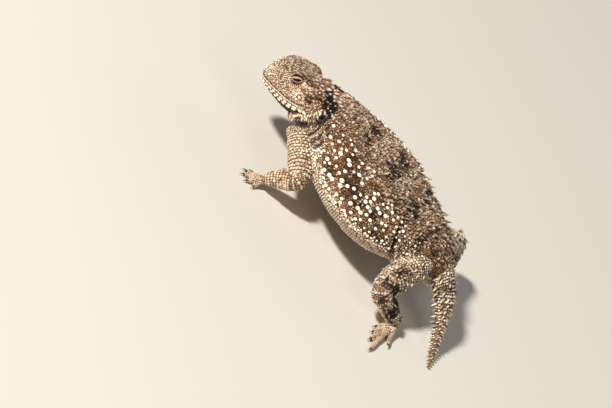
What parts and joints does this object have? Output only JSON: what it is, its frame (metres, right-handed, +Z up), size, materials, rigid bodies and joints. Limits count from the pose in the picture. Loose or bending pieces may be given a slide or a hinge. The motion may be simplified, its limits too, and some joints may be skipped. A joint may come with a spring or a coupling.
{
  "type": "horned lizard",
  "caption": "Life-size short-horned lizard model, standing tall on four splayed feet with a broad spiny body, short horns and a short curved tail laid on the floor.",
  "frame": {"origin": "on the floor, under the middle of the bounding box", "axes": "+Z up, the head towards -X, the tail towards +X, the animal's left side towards -Y"},
  "size_m": [0.1122, 0.082, 0.0333],
  "materials": {
    "skin": "dry scaly skin, sandy brown with darker blotches",
    "pale_skin": "dry pale scales",
    "horn": "horn, matt",
    "eye": "wet gloss"
  },
  "bodies": {
    "root": {"head": "skin", "neck": "skin", "torso": "skin", "tail_base": "skin", "tail_tip": "skin", "upper_arm_left": "skin", "upper_arm_right": "skin", "forearm_left": "skin", "forearm_right": "skin", "hand_left": "pale_skin", "hand_right": "pale_skin", "thigh_left": "skin", "thigh_right": "skin", "shin_left": "skin", "shin_right": "skin", "foot_left": "pale_skin", "foot_right": "pale_skin", "eye_left": "eye", "eye_right": "eye", "horn_occipital_left": "horn", "horn_occipital_right": "horn", "horn_temporal_upper_left": "horn", "horn_temporal_upper_right": "horn", "horn_temporal_middle_left": "horn", "horn_temporal_middle_right": "horn", "horn_temporal_lower_left": "horn", "horn_temporal_lower_right": "horn"}
  },
  "joints": []
}
